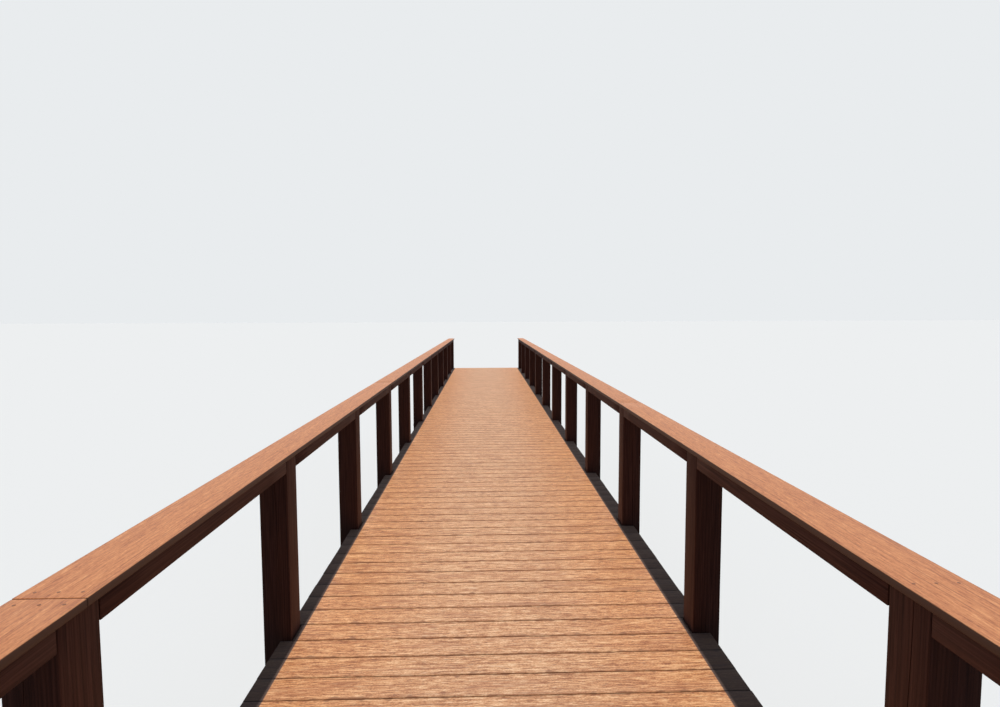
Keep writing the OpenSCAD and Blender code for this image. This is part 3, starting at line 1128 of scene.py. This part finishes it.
# %% A bolt's head or nut
WASHER_SIDES, WASHER, WASHER_THICK = 20, 50 * MM, 4 * MM
HEX_SIDES, HEX_ACROSS, HEX_THICK = 6, 24 * MM, 10 * MM
BOLT_SIDES, BOLT, BOLT_SHOWS = 12, 16 * MM, 6 * MM
HEX_CORNERS = HEX_ACROSS / math.cos(math.pi / 6)
RIM_CHAMFER = 1.2 * MM


def seat(bm, place, outward):
    """Turns a fitting that stands up along Z to look outward, and sets it in its place."""
    facing = UP.rotation_difference(outward).to_matrix()
    bmesh.ops.rotate(bm, cent=(0, 0, 0), matrix=facing, verts=bm.verts)
    bmesh.ops.translate(bm, vec=place, verts=bm.verts)
    return bm


def bolt_end(place, outward, dice, has_nut):
    """A washer with a hexagon on it, and the bolt's own end where the hexagon is a nut."""
    bm = bmesh.new()
    turn = Matrix.Rotation(dice.uniform(0, math.pi), 4, "Z")
    stack = [(WASHER_SIDES, WASHER, WASHER_THICK, 0),
             (HEX_SIDES, HEX_CORNERS, HEX_THICK, WASHER_THICK)]
    if has_nut:
        stack.append((BOLT_SIDES, BOLT, BOLT_SHOWS, WASHER_THICK + HEX_THICK))
    for sides, across, thick, rise in stack:
        disc = bmesh.ops.create_cone(bm, cap_ends=True, cap_tris=False, segments=sides,
                                     radius1=across / 2, radius2=across / 2, depth=thick,
                                     matrix=Matrix.Translation((0, 0, rise + thick / 2)) @ turn)
        rim = dict.fromkeys(e for v in disc["verts"] for e in v.link_edges
                            if all(w.co.z > rise + thick - NEAR for w in e.verts))
        ease_edges(bm, list(rim), RIM_CHAMFER)
    return seat(bm, place, outward)


sample = bolt_end(Vector(), UP, random.Random("sample"), True)
print("A nut on its washer has", len(sample.faces), "faces")
sample.free()

# %% [markdown]
# Two bolts go through each post and the outer stringer, and two through each pile and its pair
# of beams. The heads are on the outside of the posts, where a spanner reaches. The timbers
# aren't quite straight, so a ray finds the face that each washer lies on, and the washer is
# bedded a little into the wood.

# %% Bolt the posts and the piles
POST_BOLTS_BELOW_DECK = (165 * MM, 70 * MM)
POST_BOLT_ASIDE = 25 * MM
PILE_BOLT_RISES = (70 * MM, 165 * MM)
BEDDED = 0.6 * MM


def bolt_through(piece, first, last, middle, outward, dice):
    """A head on the first timber's outer face, and a nut on the last timber's."""
    for timber, way, has_nut in ((first, outward, False), (last, -outward, True)):
        spot = surface_point(timber, middle + way, -way)
        add_part(piece, bolt_end(spot - way * BEDDED, way, dice, has_nut))


for side, sign in SIDES.items():
    dice = random.Random(f"{side} post bolts")
    piece = bmesh.new()
    for low, high in posts[side]:
        inner = low.x if sign > 0 else high.x
        for below, aside in zip(POST_BOLTS_BELOW_DECK, (-POST_BOLT_ASIDE, POST_BOLT_ASIDE)):
            middle = Vector((inner, (low.y + high.y) / 2 + aside, DECK_TOP - below))
            bolt_through(piece, f"{side}_rail_posts", f"{side}_stringer_timbers_1", middle,
                         ALONG_X * sign, dice)
    finish_piece(piece, f"{side}_post_bolts", galvanised)

dice = random.Random("pile bolts")
piece = bmesh.new()
for bent, (near_beam, far_beam) in beams.items():
    for low, high in timbers_in(f"pile_pair_{bent}"):
        for rise in PILE_BOLT_RISES:
            middle = Vector(((low.x + high.x) / 2, (low.y + high.y) / 2, near_beam[0].z + rise))
            bolt_through(piece, f"pile_cap_beams_{bent}", f"pile_cap_beams_{bent}", middle,
                         -ALONG_Y, dice)
finish_piece(piece, "pile_bolts", galvanised)
print("Bolted", len(beams), "bents and", len(posts["left"]), "posts a side")

# %% [markdown]
# The handrail's screws are steel with a thin brown coating, made to be overlooked against the
# wood. It has worn to a paler brown in places. A coat covers the metal, so it isn't metallic.

# %% Brown-coated steel
WORN = 3 * MM


def brown_coated_steel():
    material, tree, shader = new_finish("brown_coated_steel", 0.45)
    spot = add_node(tree, "TexCoord").outputs["Object"]
    worn = add_node(tree, "TexNoise", {"Vector": spot, "Scale": 1 / WORN,
                                       "Detail": 2.0}).outputs["Fac"]
    colour = tint(tree, linear("#7A4E34"), worn, 0.55, 0.75, 1.0, "#9A8070")
    wear(tree, shader, colour, worn, 0.2, 0.2)
    return material


coated = brown_coated_steel()
print("The coating has", len(coated.node_tree.nodes), "nodes")

# %% [markdown]
# A screw head is a short cone with a drive recess in its flat top. The recess is made by two
# insets of the top face: the first leaves a small face in the middle, and the second sinks it.

# %% A screw's head
SCREW_SIDES = 12
SCREW_TAPER = 5
SCREW_RECESS = 3.2 * MM
SCREW_RECESS_DEPTH = 1.5 * MM


def screw_head(place, outward, across, rise):
    """A screw's head, this wide and standing this proud of the face."""
    bm = bmesh.new()
    depth = across / 2
    bmesh.ops.create_cone(bm, cap_ends=True, cap_tris=False, segments=SCREW_SIDES,
                          radius1=across / SCREW_TAPER, radius2=across / 2, depth=depth,
                          matrix=Matrix.Translation((0, 0, rise - depth / 2)))
    top = [f for f in bm.faces if f.normal.z > SAME_FACE]
    bmesh.ops.inset_individual(bm, faces=top, thickness=(across - SCREW_RECESS) / 2)
    bmesh.ops.inset_individual(bm, faces=top, thickness=NEAR, depth=-SCREW_RECESS_DEPTH)
    return seat(bm, place, outward)


sample = screw_head(Vector(), UP, 8 * MM, 0)
print("A screw's head has", len(sample.faces), "faces")
sample.free()

# %% [markdown]
# The handrail is screwed down through its face, three screws in a row over each post and a row
# on each side of a joint, sunk almost flush. The header boards are screwed to the stringer ends
# with galvanised screws, which have a broad flat head. A ray finds the face for each of them.

# %% Drive the screws
HANDRAIL_SCREW = 8 * MM
HANDRAIL_SCREW_RISE = 0.4 * MM
HEADER_SCREW = 14 * MM
SCREWS_APART = 58 * MM
FROM_JOINT = 30 * MM

for side in SIDES:
    piece = bmesh.new()
    joints = [low.y for low, high in handrails[side]][1:]
    for low, high in posts[side]:
        middle = (low + high) / 2
        jointed = any(low.y < y < high.y for y in joints)
        for y in ((-FROM_JOINT, FROM_JOINT) if jointed else (0,)):
            for n in (-1, 0, 1):
                start = Vector((middle.x + n * SCREWS_APART, middle.y + y, cad_box[1][Z] + 1))
                spot = surface_point(f"{side}_handrail_boards", start, -UP)
                add_part(piece, screw_head(spot, UP, HANDRAIL_SCREW, HANDRAIL_SCREW_RISE))
    finish_piece(piece, f"{side}_handrail_screws", coated)

for name, (low, high) in headers.items():
    outward = ALONG_Y * (-1 if name == "near_header" else 1)
    piece = bmesh.new()
    for side in SIDES:
        for line in range(1, STRINGER_LINES + 1):
            end_low, end_high = timbers_in(f"{side}_stringer_{line}")[0]
            middle = Vector(((end_low.x + end_high.x) / 2, low.y, (low.z + high.z) / 2))
            for n in (-1, 0, 1):
                spot = surface_point(f"{name}_board", middle + UP * n * SCREWS_APART + outward,
                                     -outward)
                add_part(piece, screw_head(spot, outward, HEADER_SCREW, SCREW_HEAD_RISE))
    finish_piece(piece, f"{name}_screws", galvanised)
print("Pieces in all:", len(made))
